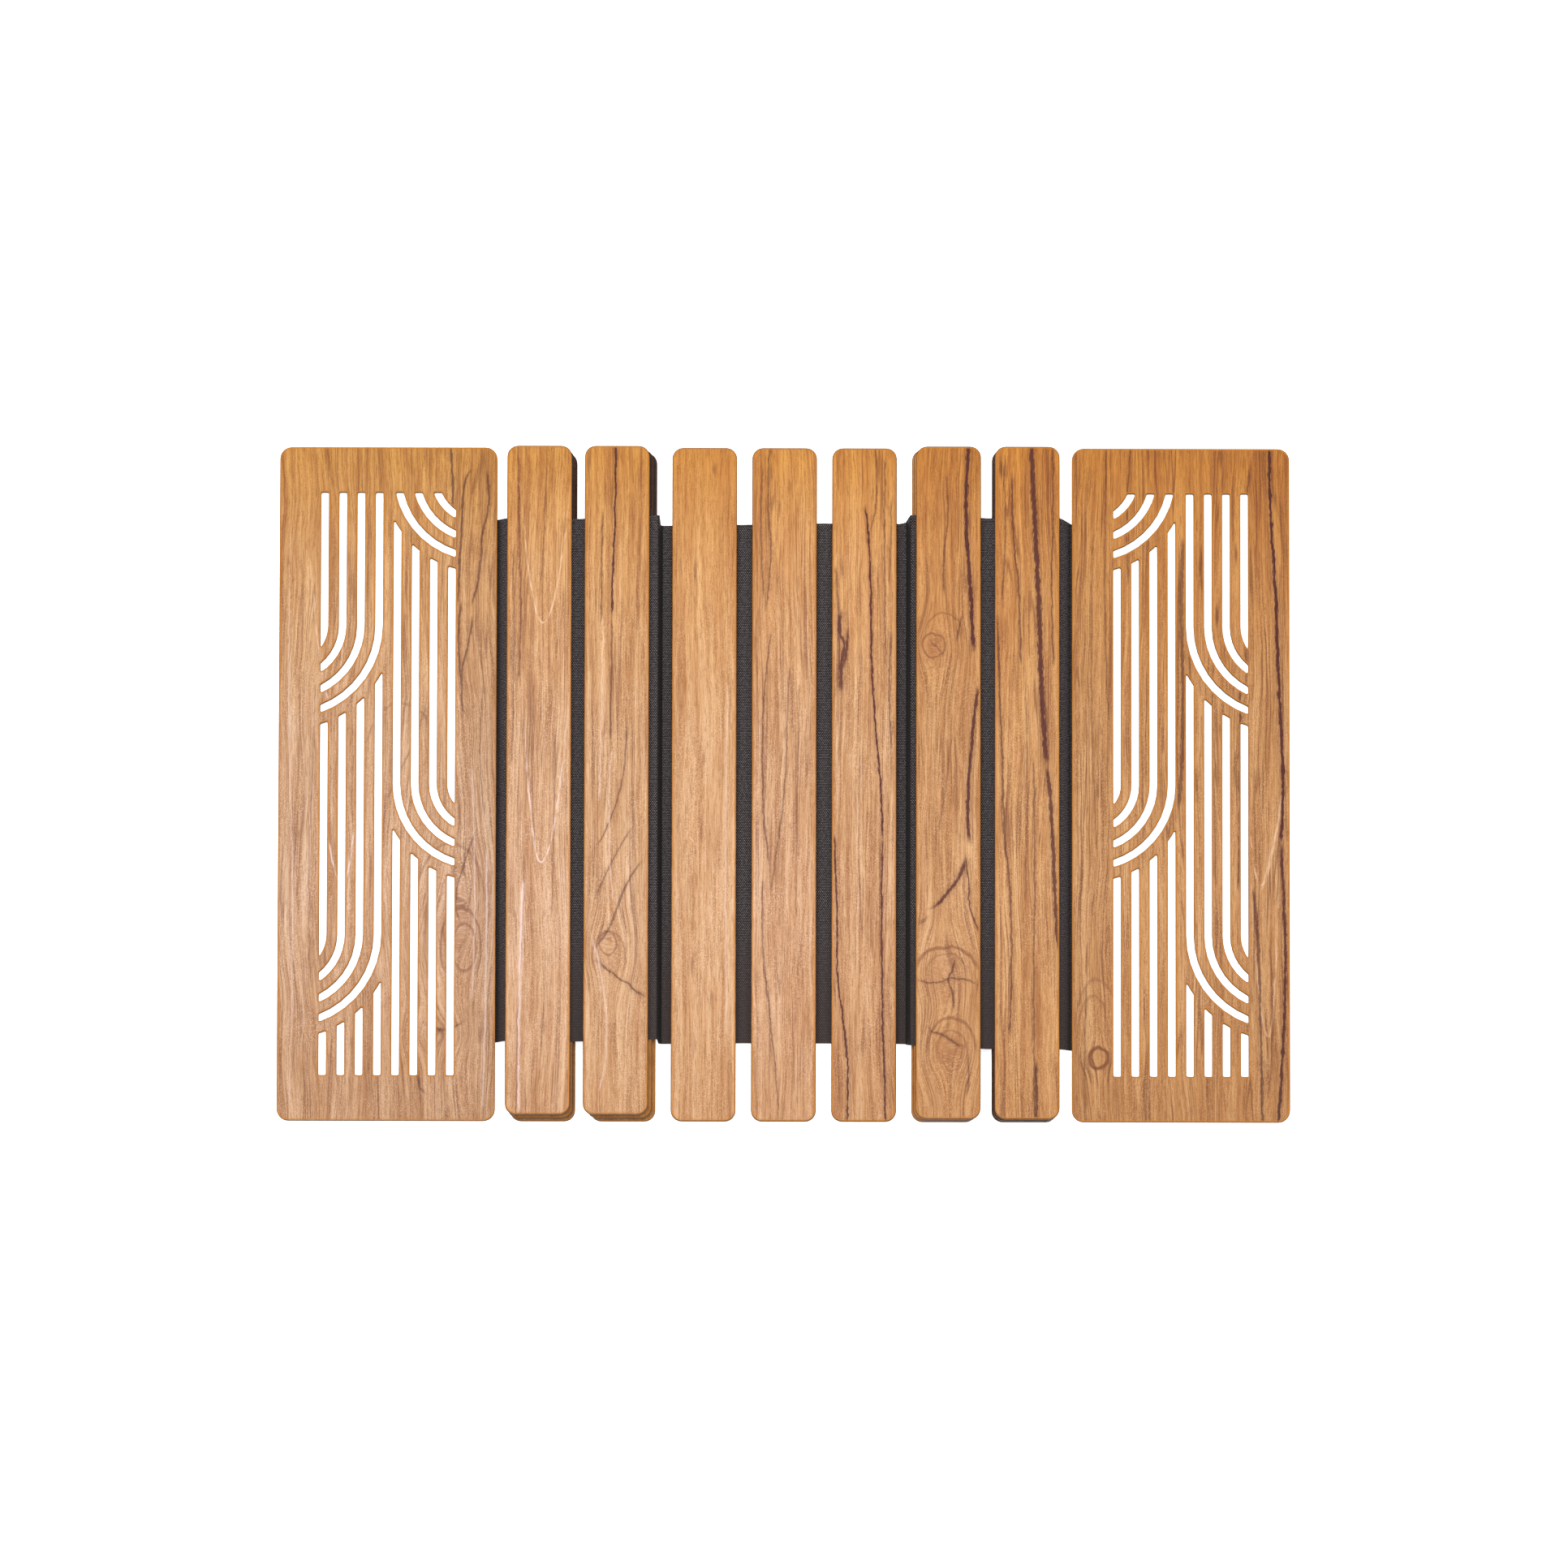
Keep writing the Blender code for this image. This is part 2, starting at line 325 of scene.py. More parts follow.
@dataclass(frozen=True)
class Veneer:
    """One plate's veneer: where its middle is, its tone, and the figures in it. Its tone holds the
    wood's own tone and painted light: the plates on the right are painted darker, as the light
    falls off.
    """

    seed: float
    # the wood's own tone with a painted light fall-off: darker towards the right
    tone: Colour
    streaks: tuple[Streak, ...] = ()
    knots: tuple[Knot, ...] = ()
    arcs: tuple[Arc, ...] = ()
    vees: tuple[Vee, ...] = ()
    flecks: tuple[Fleck, ...] = ()
    lines: float = 0.6  # how strongly the dark growth lines show
    wander: float = 5.0  # how far the grain wanders sideways, in mm

    dark: Colour = (0.285, 0.118, 0.038)
    middle: Colour = (0.425, 0.226, 0.098)
    light: Colour = (0.530, 0.325, 0.170)
    vein: Colour = (0.150, 0.048, 0.018)
    burnt: Colour = (0.050, 0.015, 0.004)
    crack: Colour = (0.062, 0.009, 0.006)
    pale: Colour = (0.620, 0.440, 0.330)
    comb: Colour = (0.200, 0.085, 0.028)
    pore: Colour = (0.170, 0.062, 0.016)
    # painted highlight and painted shade: the pale glints and the dark specks of the surface's fine
    # texture
    speck_glint: Colour = (0.640, 0.430, 0.270)
    speck_shade: Colour = (0.215, 0.090, 0.030)
    knotty: Colour = (0.250, 0.098, 0.042)
    stained: Colour = (0.150, 0.055, 0.024)
    amber: Colour = (0.365, 0.132, 0.012)

    def material(self, name: str, middle_x: float) -> Material:
        """Makes the veneer's material.

        Args:
            name: The material's name.
            middle_x: The X of the plate's middle, in metres.

        Returns:
            The material.
        """
        g = Graph(name)
        place = g.node("ShaderNodeTexCoord").outputs["Object"]
        local = g.node("ShaderNodeMapping")
        g.feed(local.inputs["Vector"], place)
        local.inputs["Location"].default_value = (-middle_x / MM, 0, 0)
        local.inputs["Scale"].default_value = (1 / MM, 1 / MM, 1 / MM)
        x, y, _ = g.split(local.outputs[0])

        grain = self._grain(g, x, y)
        colour, relief = self._wood(g, grain, y)
        colour = self._figures(g, colour, x, y)
        colour = self._age(g, colour, y)
        colour, gloss_off = self._scorch(g, colour, x, y)

        g.feed(g.surface.inputs["Base Color"], colour)
        fine = g.noise(g.vector(g.times(grain, 0.9), g.times(y, 0.05), self.seed + 9), 3.0)
        rough = g.add(g.times(fine, 0.22), 0.36)
        g.feed(g.surface.inputs["Roughness"], g.add(rough, g.times(gloss_off, 0.2)))
        g.surface.inputs["Specular IOR Level"].default_value = 0.16
        g.bump(relief, 0.12 * MM)
        return g.material

    def _noise(
        self, g: Graph, x: Value, y: Value, across: float, along: float, n: float, *detail: float
    ) -> NodeSocket:
        """The nth noise from 0 to 1, whose features are so many mm across and along the grain."""
        where = g.vector(g.times(x, 1 / across), g.times(y, 1 / along), self.seed + 3.7 * n)
        return g.noise(where, *detail)

    def _grain(self, g: Graph, x: Value, y: Value) -> NodeSocket:
        """X as the grain sees it: it wanders, and spreads round the knots."""
        drift = self._noise(g, x, y, 60, 150, 1, 2.0)
        ripple = self._noise(g, x, y, 14, 40, 2, 2.0)
        grain = g.add(x, g.times(g.less(drift, 0.5), 2 * self.wander))
        grain = g.add(grain, g.times(g.less(ripple, 0.5), 0.35 * self.wander))
        for knot in self.knots:
            off = g.less(x, knot.x)
            near = self._near(g, x, y, knot, 1.25)
            grain = g.less(grain, g.times(off, near, 0.85))
        return grain

    @staticmethod
    def _distance(g: Graph, x: Value, y: Value, spot: Knot | Arc | Fleck) -> NodeSocket:
        """How far a place is from a spot: 0 at its middle and 1 on its edge."""
        across = g.times(g.less(x, spot.x), 1 / spot.radius_x)
        along = g.times(g.less(y, spot.y), 1 / spot.radius_y)
        return g.sum(Op.SQRT, g.add(g.times(across, across), g.times(along, along)))

    def _near(self, g: Graph, x: Value, y: Value, spot: Knot, spread: float) -> NodeSocket:
        """1 in the middle of a knot, and falling off to nothing around it."""
        far = g.times(self._distance(g, x, y, spot), 1 / spread)
        return g.sum(Op.EXPONENT, g.times(far, far, -1.0))

    def _wood(self, g: Graph, grain: NodeSocket, y: Value) -> tuple[NodeSocket, NodeSocket]:
        """The plain wood.

        Args:
            g: The material's graph.
            grain: X as the grain sees it, in mm.
            y: The place along the grain, in mm.

        Returns:
            Its colour, and its relief from 0 to 1.
        """
        broad = self._noise(g, grain, y, 10, 240, 3, 2.0)
        bands = self._noise(g, grain, y, 2.8, 95, 4, 4.0, 0.6)
        fibre = self._noise(g, grain, y, 0.8, 18, 5, 3.0, 0.7)
        tone = g.add(g.times(broad, 0.26), g.add(g.times(bands, 0.42), g.times(fibre, 0.32)))
        colour = g.ramp(tone, ((0.39, self.dark), (0.50, self.middle), (0.60, self.light)))

        ring = self._noise(g, grain, y, 7, 420, 6, 1.0)
        for level in RING_LEVELS:
            off = g.sum(Op.ABSOLUTE, g.less(ring, level))
            broken = g.between(self._noise(g, grain, y, 9, 45, 7 + level, 2.0), 0.40, 0.60)
            line = g.times(g.between(off, 0.012, 0.002), g.times(broken, self.lines))
            colour = g.mix(line, colour, self.vein)

        threads = self._noise(g, grain, y, 2.3, 280, 14, 1.0)
        gathered = g.between(self._noise(g, grain, y, 6, 70, 15, 2.0), 0.40, 0.58)
        thread = g.between(g.sum(Op.ABSOLUTE, g.less(threads, 0.5)), 0.045, 0.004)
        colour = g.mix(g.times(thread, gathered, 1.1 * self.lines), colour, self.vein)
        comb = self._noise(g, grain, y, 0.55, 160, 12, 1.0)
        colour = g.mix(g.times(g.between(comb, 0.42, 0.66), 0.16), colour, self.comb)
        pores = self._noise(g, grain, y, 0.42, 7, 8, 1.0)
        pits = g.between(pores, 0.56, 0.70)
        colour = g.mix(g.times(pits, 0.42), colour, self.pore)
        # Painted glints of sheen, stronger towards the front, and painted shade in dark specks
        # between them.
        speck_noise = self._noise(g, grain, y, 0.42, 0.75, 9, 2.0)
        zones = g.between(self._noise(g, grain, y, 12, 40, 10, 2.0), 0.34, 0.62)
        shine = g.times(g.between(speck_noise, 0.52, 0.66), g.add(g.times(zones, 0.32), 0.16))
        shine = g.times(shine, g.add(g.times(g.between(y, 190.0, 20.0), 0.65), 0.35))
        colour = g.mix(shine, colour, self.speck_glint)
        speck_shading = g.times(g.between(speck_noise, 0.46, 0.32), g.add(g.times(zones, 0.30), 0.12))
        colour = g.mix(speck_shading, colour, self.speck_shade)

        relief = g.less(g.times(fibre, 0.6), g.times(pits, 0.5))
        return colour, relief

    def _figures(self, g: Graph, colour: NodeSocket, x: Value, y: Value) -> NodeSocket:
        """Draws the veneer's own knots, arcs, vees, flecks and streaks over the plain wood."""
        wobble = self._noise(g, x, y, 5, 9, 11, 3.0)
        shaky_x = g.add(x, g.times(g.less(wobble, 0.5), 1.8))
        shaky_y = g.add(y, g.times(g.less(wobble, 0.5), 4.0))
        for knot in self.knots:
            inside = g.between(self._distance(g, shaky_x, shaky_y, knot), 1.15, 0.35)
            mottle = g.add(g.times(wobble, 0.9), 0.3)
            colour = g.mix(g.times(inside, mottle, knot.shade), colour, self.knotty)
        for arc in self.arcs:
            off = g.sum(Op.ABSOLUTE, g.less(self._distance(g, shaky_x, shaky_y, arc), 1.0))
            half = 0.5 * arc.width / min(arc.radius_x, arc.radius_y)
            line = g.between(off, 2.2 * half, 0.4 * half)
            begins = arc.y + (arc.above - 0.2) * arc.radius_y
            shown = g.between(y, begins, begins + 0.4 * arc.radius_y)
            colour = g.mix(g.times(line, shown, arc.depth), colour, self.vein)
        for vee in self.vees:
            off = g.less(shaky_x, vee.x)
            side = g.sum(Op.GREATER_THAN, off, 0.0)
            steep = g.add(g.times(side, vee.right - vee.left), vee.left)
            height = g.less(g.less(y, vee.y), g.times(off, off, steep))
            slope = g.times(off, steep, 2.0)
            true = g.sum(Op.DIVIDE, height, g.sum(Op.SQRT, g.add(g.times(slope, slope), 1.0)))
            line = g.between(g.sum(Op.ABSOLUTE, true), vee.width * 1.5, vee.width * 0.2)
            worn = g.between(self._noise(g, x, y, 3, 12, 13, 2.0), 0.34, 0.62)
            fade = g.times(g.between(y, vee.y + 115, vee.y + 30), worn)
            colour = g.mix(g.times(line, fade, 0.75), colour, self.pale)
        for fleck in self.flecks:
            mark = g.between(self._distance(g, shaky_x, y, fleck), 1.1, 0.2)
            colour = g.mix(g.times(mark, fleck.depth), colour, self.stained)
        fray = g.times(g.less(self._noise(g, x, y, 0.45, 3.5, 16, 3.0), 0.5), 2.6)
        for streak in self.streaks:
            colour = self._streak(g, colour, (shaky_x, shaky_y, fray), streak)
        return colour

    def _streak(
        self, g: Graph, colour: NodeSocket, place: tuple[Value, Value, Value], streak: Streak
    ) -> NodeSocket:
        """Draws one streak: uneven along its length, with a soft stain beside it.

        Args:
            g: The material's graph.
            colour: The wood under it.
            place: X and Y in mm, and how far the fibres fray its edge, from about -0.5 to 0.5.
            streak: Where it runs.

        Returns:
            The colour with the streak in it.
        """
        x, y, fray = place
        runs, strays, span, reach = y, x, HALF_LENGTH_MM, REACH_MM
        points = streak.path
        if streak.runs_across():
            runs, strays, span, reach = x, y, REACH_MM, HALF_LENGTH_MM
            points = tuple((py, px) for px, py in points)
        points = sorted(points, key=lambda p: p[1])
        low, high = points[0][1], points[-1][1]
        share = [
            ((along + span) / (2 * span), across / (2 * reach) + 0.5) for across, along in points
        ]
        line_at = g.curve(g.times(g.add(runs, span), 1 / (2 * span)), share)
        line_at = g.times(g.less(line_at, 0.5), 2 * reach)
        lean = math.hypot(1.0, (points[-1][0] - points[0][0]) / (high - low))
        off = g.times(g.sum(Op.ABSOLUTE, g.less(strays, line_at)), 1 / lean)
        uneven = g.noise(g.vector(g.times(runs, 0.09), streak.width, self.seed), 3.0)
        half = g.times(g.add(g.times(uneven, 0.6), 0.34), 0.8 * streak.width)
        frayed = g.add(off, g.times(fray, 0.45 * streak.width + 0.2))
        line = g.between(frayed, g.times(half, 1.45), g.times(half, 0.65))
        stain = g.times(g.between(frayed, g.times(half, 4.5), 0.0), 0.30)
        ends = g.times(
            g.between(runs, low - 2.0, low + 5.0) if low > 3 - span else 1.0,
            g.between(runs, high + 2.0, high - 5.0) if high < span - 3 else 1.0,
        )
        mask = g.times(g.times(g.sum(Op.MAXIMUM, line, stain), ends), streak.depth)
        return g.mix(mask, colour, self.pale if streak.pale else self.crack)

    def _age(self, g: Graph, colour: NodeSocket, y: Value) -> NodeSocket:
        """Paints light into the veneer, then multiplies in its tone: a painted light gradient,
        honey at the back, paler and pinker in the middle with a painted reflection, browner in
        front.
        """
        along = g.times(g.add(y, HALF_LENGTH_MM), 1 / (2 * HALF_LENGTH_MM))
        # painted light: the gradient along the plate and the pale painted reflection in its middle
        tint = g.ramp(
            along,
            (
                (0.03, (0.95, 0.91, 0.89)),
                (0.33, (1.07, 1.10, 1.21)),
                (0.58, (1.03, 1.03, 1.04)),
                (0.82, (1.03, 0.92, 0.67)),
                (0.98, (0.95, 0.73, 0.26)),
            ),
        )
        colour = g.mix(1.0, colour, tint, Blend.MULTIPLY)
        return g.mix(1.0, colour, self.tone, Blend.MULTIPLY)

    def _scorch(
        self, g: Graph, colour: NodeSocket, x: Value, y: Value
    ) -> tuple[NodeSocket, NodeSocket]:
        """Browns the rim that the laser cut. Returns the colour and the share that is scorched."""
        rim = g.node("ShaderNodeAttribute", attribute_name="scorch").outputs["Fac"]
        uneven = g.noise(g.vector(g.times(x, 0.5), g.times(y, 0.12), self.seed + 50), 3.0)
        amber = g.times(g.between(rim, 0.0, 0.8), g.add(g.times(uneven, 0.6), 0.45))
        colour = g.mix(amber, colour, self.amber)
        burn = g.times(g.between(rim, 0.80, 1.0), g.add(g.times(uneven, 0.9), 0.30))
        return g.mix(burn, colour, self.burnt), rim


@dataclass(frozen=True)
class RiserVeneer(Veneer):
    """The face of a riser ply, which shows only as a ledge: charred with painted shade, and golden
    where bright.
    """

    bright_from: float = -150.0  # the ply is bright in front of this y, without char or painted shade, in mm
    fade: float = 60.0  # mm, from bright to char with painted shade
    lines: float = 0.2
    # char with painted shade, for the darkened part of the ledge
    char: Colour = (0.070, 0.050, 0.035)

    def _char_and_shade(self, g: Graph, y: Value) -> NodeSocket:
        """1 where the ply is darkened by char and painted shade: on the ledge that faces up, behind
        its bright stretch.
        """
        facing = g.split(g.node("ShaderNodeTexCoord").outputs["Normal"])[2]
        behind = g.between(y, self.bright_from, self.bright_from + self.fade)
        return g.times(behind, g.between(facing, 0.0, 0.5))

    def _age(self, g: Graph, colour: NodeSocket, y: Value) -> NodeSocket:
        """Darkens the part of the face with char and painted shade."""
        colour = g.mix(1.0, colour, self.tone, Blend.MULTIPLY)
        # char with painted shade
        burnt = g.mix(1.0, colour, self.char, Blend.MULTIPLY)
        return g.mix(self._char_and_shade(g, y), colour, burnt)

    def _scorch(
        self, g: Graph, colour: NodeSocket, x: Value, y: Value
    ) -> tuple[NodeSocket, NodeSocket]:
        """Burns the rim of the part with char and painted shade black, and leaves the rest of the
        rim golden.
        """
        golden, rim = super()._scorch(g, colour, x, y)
        return g.mix(self._char_and_shade(g, y), golden, g.mix(rim, colour, self.burnt)), rim


@dataclass(frozen=True)
class ScorchedEdge:
    """The cut side of a ply: charred, with the plies and the laser's fine upright lines showing."""

    ply: float = 4 * MM
    char: Colour = (0.020, 0.007, 0.003)
    toast: Colour = (0.200, 0.085, 0.020)

    def material(self, name: str, low_z: float) -> Material:
        """Makes the material.

        Args:
            name: The material's name.
            low_z: The underside of the ply, in metres.

        Returns:
            The material.
        """
        g = Graph(name)
        place = g.node("ShaderNodeTexCoord").outputs["Object"]
        x, y, z = (g.times(s, 1 / MM) for s in g.split(place))
        height = g.less(z, low_z / MM)
        layers = g.add(g.times(g.sum(Op.SINE, g.times(height, 2 * math.pi / 1.35)), 0.5), 0.5)
        lines = g.noise(g.vector(g.times(x, 3.5), g.times(y, 3.5), g.times(z, 0.12)), 2.0)
        patch = g.noise(g.vector(g.times(x, 0.12), g.times(y, 0.12), g.times(z, 0.3)), 3.0)
        light = g.times(g.times(layers, g.between(lines, 0.25, 0.8)), g.between(patch, 0.30, 0.72))
        g.feed(g.surface.inputs["Base Color"], g.mix(light, self.char, self.toast))
        g.surface.inputs["Roughness"].default_value = 0.72
        g.bump(g.add(g.times(lines, 0.7), g.times(layers, 0.3)), 0.10 * MM)
        return g.material


@dataclass(frozen=True)
class BackingCloth:
    """A black bag cloth whose threads catch the light as staggered rows of small flecks."""

    fleck: float = 1.12  # mm, from one fleck to the next along a row
    row: float = 0.92  # mm, from one row to the next
    thread: Colour = (0.152, 0.126, 0.130)
    thread_two: Colour = (0.074, 0.059, 0.061)
    shadow: Colour = (0.0060, 0.0045, 0.0045)
    # painted light: the flat colour that the weave fades into towards the front
    flat_lit: Colour = (0.036, 0.025, 0.022)  # towards the front

    def material(self) -> Material:
        """Makes the material. The piece's UV map is in millimetres of cloth."""
        g = Graph("backing_cloth")
        u, v, _ = g.split(g.node("ShaderNodeUVMap", uv_map="weave").outputs[0])
        sway = g.noise(g.vector(g.times(u, 0.05), g.times(v, 0.05), 3.0), 2.0)
        row = g.times(g.add(v, g.times(sway, 1.4)), 1 / self.row)
        column = g.times(g.add(u, g.times(sway, 1.8)), 1 / self.fleck)
        odd = g.sum(Op.GREATER_THAN, g.sum(Op.SINE, g.times(row, math.pi)), 0.0)
        across = self._hump(g, g.add(column, g.times(odd, 0.5)))
        along = self._hump(g, row)
        height = g.times(across, along)
        lit = g.between(height, 0.30, 0.78)
        tint = g.noise(g.vector(g.times(u, 0.7), g.times(v, 0.7), 8.0), 2.0)
        thread = g.mix(g.between(tint, 0.35, 0.65), self.thread_two, self.thread)
        colour = g.mix(lit, self.shadow, thread)
        # Painted light: towards the front the light no longer picks out the weave, so its painted
        # highlights and shade fade into one flat colour.
        soft = g.between(v, -60.0, -150.0)
        colour = g.mix(g.times(soft, 0.75), colour, self.flat_lit)
        # painted shade in the valley below a riser's ledge, where the cloth falls steeply
        crease_shade = g.node("ShaderNodeAttribute", attribute_name="crease_shade").outputs["Fac"]
        colour = g.mix(g.times(crease_shade, 0.94), colour, self.shadow)
        g.feed(g.surface.inputs["Base Color"], colour)
        g.surface.inputs["Roughness"].default_value = 0.62
        g.surface.inputs["Specular IOR Level"].default_value = 0.12
        g.surface.inputs["Sheen Weight"].default_value = 0.02
        g.surface.inputs["Sheen Roughness"].default_value = 0.45
        g.bump(height, 0.20 * MM)
        return g.material

    @staticmethod
    def _hump(g: Graph, value: Value) -> NodeSocket:
        """One rounded hump in each unit, from 0 between them to 1 on top."""
        return g.sum(Op.ABSOLUTE, g.sum(Op.SINE, g.times(value, math.pi)))


def mesh_object(name: str, bm: bmesh.types.BMesh, materials: list[Material]) -> Object:
    """Turns a bmesh into a piece at the origin, with smooth faces and sharp corners.

    Args:
        name: The piece's name.
        bm: The shape, which is freed.
        materials: Its materials, in the order of the faces' material_index.

    Returns:
        The object, in the scene.
    """
    mesh: Mesh = bpy.data.meshes.new(name)
    bm.to_mesh(mesh)
    bm.free()
    for material in materials:
        mesh.materials.append(material)
    mesh.shade_smooth()
    mesh.set_sharp_from_angle(angle=math.radians(38))
    piece = bpy.data.objects.new(name, mesh)
    bpy.context.scene.collection.objects.link(piece)
    return piece


@dataclass(frozen=True)
class CutPlate:
    """A laser-cut plate that takes its outline from a CAD node."""

    node: str
    body: str
    veneer: Veneer
    slot: str
    soften: float = 0.28 * MM  # radius of the worn rims
    rim: float = 1.5 * MM  # width of the browned band inside a rim

    def build(self, nodes: dict[str, Object]) -> Object:
        """Builds the plate, dresses it and hangs it on its body.

        Args:
            nodes: The CAD nodes by name.

        Returns:
            The piece.
        """
        low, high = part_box(self.node)
        bm = bmesh.new()
        bm.from_mesh(nodes[self.node].data)
        bmesh.ops.remove_doubles(bm, verts=bm.verts, dist=0.001 * MM)
        bmesh.ops.dissolve_limit(
            bm,
            angle_limit=math.radians(0.5),
            verts=bm.verts,
            edges=bm.edges,
            use_dissolve_boundaries=False,
        )
        self._soften(bm)
        self._mark_rims(bm)
        bmesh.ops.triangulate(bm, faces=[f for f in bm.faces if len(f.verts) > 4])
        piece = mesh_object(
            f"{self.node}_teak",
            bm,
            [
                self.veneer.material(f"{self.node}_veneer", (low.x + high.x) / 2),
                ScorchedEdge().material(f"{self.node}_edge", low.z),
            ],
        )
        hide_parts(self.node)
        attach(piece, self.body)
        return piece

    def _soften(self, bm: bmesh.types.BMesh) -> None:
        """Rounds the rims of the top and the underside, the slots' too."""
        rims = [
            e
            for e in bm.edges
            if e.calc_face_angle(0.0) > math.radians(60)
            and abs(e.verts[0].co.z - e.verts[1].co.z) < 0.01 * MM
        ]
        bmesh.ops.bevel(
            bm,
            geom=rims,
            offset=self.soften,
            offset_type="OFFSET",
            affect="EDGES",
            segments=2,
            profile=0.5,
            material=-1,
            clamp_overlap=True,
        )

    def _mark_rims(self, bm: bmesh.types.BMesh) -> None:
        """Cuts a narrow band inside each rim, and marks its outer side as scorched."""
        scorch = bm.verts.layers.float.new("scorch")
        for vertex in bm.verts:
            vertex[scorch] = 1.0
        faces = [f for f in bm.faces if abs(f.normal.z) > 0.99]
        for top in (True, False):
            side = [f for f in faces if (f.normal.z > 0) == top]
            bmesh.ops.inset_region(
                bm, faces=side, thickness=self.rim, use_boundary=True, use_even_offset=True
            )
            for face in side:
                for vertex in face.verts:
                    vertex[scorch] = 0.0
        for face in bm.faces:
            face.material_index = 0 if abs(face.normal.z) > 0.6 else 1


@dataclass(frozen=True)
class Cloth:
    """The backing cloth, laid in runs from the middle of one plate to the middle of the next."""

    thickness: float = 0.7 * MM
    tab: float = 22 * MM  # how far it goes under an end panel
    clearance: float = 0.3 * MM  # under a plate, for the glue
    rows: int = 48  # of faces along the mat's width
    # Where the two cut edges of the cloth run: (x, back edge's y, front edge's y), in mm.
    edges: tuple[tuple[float, float, float], ...] = (
        (-190, 158.5, -154.0),
        (-167, 158.0, -154.0),
        (-121, 157.7, -154.2),
        (-74.8, 160.1, -152.7),
        (-74.2, 154.8, -154.8),
        (-24, 155.5, -154.3),
        (24, 156.4, -154.3),
        (66, 155.6, -154.4),
        (72.4, 157.1, -154.6),
        (75.4, 160.4, -156.0),
        (120, 158.6, -158.2),
        (163, 158.8, -158.3),
        (171, 155.8, -158.2),
        (190, 156.0, -158.0),
    )

    def build(self, nodes: dict[str, Object]) -> list[Object]:
        """Lays every run of the cloth.

        Args:
            nodes: The CAD nodes by name.

        Returns:
            The pieces, from left to right.
        """
        material = BackingCloth().material()
        return [self._run(left, right, nodes, material) for left, right in pairwise(UNITS)]

    @staticmethod
    def _plate(unit: str) -> tuple[Vector, Vector]:
        """The box of a unit's top plate."""
        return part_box(unit if unit.startswith("slat") else f"end_{unit}")

    def _level(self, unit: str) -> float:
        """The middle of the cloth under a unit's plate."""
        return self._plate(unit)[0].z - self.clearance - self.thickness / 2

    def _end(self, unit: str, side: int) -> float:
        """Where a run ends, away from the gap: the middle of a slat, or the cloth's own end."""
        low, high = self._plate(unit)
        if unit.startswith("slat"):
            return (low.x + high.x) / 2
        return high.x - self.tab if side < 0 else low.x + self.tab

    def _ledge(self, unit: str, side: int, nodes: dict[str, Object]) -> tuple[float, float]:
        """A unit's edges that face a gap: its plate's, and its lowest ply's if that sticks out."""
        low, high = self._plate(unit)
        edge = high.x if side > 0 else low.x
        riser = f"riser_lower_{unit[-1]}"
        if riser not in nodes:
            return edge, edge
        riser_low, riser_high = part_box(riser)
        floor = riser_high.x if side > 0 else riser_low.x
        return edge, side * max(side * edge, side * floor)

    def _path(self, left: str, right: str, nodes: dict[str, Object]) -> list[Vector]:
        """The middle of a run, in X and Z: flat under the plates and bent in the gap."""
        a_z, b_z = self._level(left), self._level(right)
        a_edge, a_floor = self._ledge(left, 1, nodes)
        b_edge, b_floor = self._ledge(right, -1, nodes)
        if abs(a_z - b_z) < 1 * MM:
            lift = 0.45 * MM if a_z < 2 * MM else -0.6 * MM
            gap = [(a_edge, a_z), ((a_edge + b_edge) / 2, a_z + lift), (b_edge, b_z)]
        elif a_z > b_z:
            gap = self._drop(a_edge, a_floor, a_z, b_edge, b_z)
        else:
            gap = [(-x, z) for x, z in reversed(self._drop(-b_edge, -b_floor, b_z, -a_edge, a_z))]
        ends = [(self._end(left, -1), a_z)], [(self._end(right, 1), b_z)]
        return [Vector(p) for p in self._rounded(ends[0] + gap + ends[1])]

    @staticmethod
    def _drop(
        edge: float, ledge: float, high: float, far: float, low: float
    ) -> list[tuple[float, float]]:
        """The cloth from a raised plate's edge at X edge down to the floor, and on to X far."""
        step = ledge - edge
        room = far - ledge
        if step < 0.5 * MM:
            return [
                (edge - 0.2 * MM, high),
                (edge + 0.30 * room, high - 0.22 * (high - low)),
                (edge + 0.62 * room, low + 0.30 * (high - low)),
                (far - 0.9 * MM, low),
            ]
        return [
            (ledge + 0.2 * MM, high),
            (ledge + 0.7 * MM, high - 1.2 * MM),
            (ledge + 1.5 * MM, (high + low) / 2),
            (ledge + 2.3 * MM, low + 0.9 * MM),
            (ledge + 3.6 * MM, low),
        ]

    @staticmethod
    def _rounded(points: list[tuple[float, float]]) -> list[tuple[float, float]]:
        """Cuts the corners of a path three times, and adds points along its long flat ends."""
        for _ in range(3):
            cut = [points[0]]
            for (ax, az), (bx, bz) in pairwise(points):
                reach = min(0.25, 1.2 * MM / max(math.hypot(bx - ax, bz - az), 1e-6))
                cut.append((ax + (bx - ax) * reach, az + (bz - az) * reach))
                cut.append((bx - (bx - ax) * reach, bz - (bz - az) * reach))
            points = cut + [points[-1]]
        return points

    def _edge_y(self, x: float) -> tuple[float, float]:
        """The back and front edges of the cloth at an X."""
        x_mm = x / MM
        for (ax, a_back, a_front), (bx, b_back, b_front) in pairwise(self.edges):
            if x_mm <= bx:
                t = min(1.0, max(0.0, (x_mm - ax) / (bx - ax)))
                back, front = a_back + (b_back - a_back) * t, a_front + (b_front - a_front) * t
                return back * MM, front * MM
        return self.edges[-1][1] * MM, self.edges[-1][2] * MM

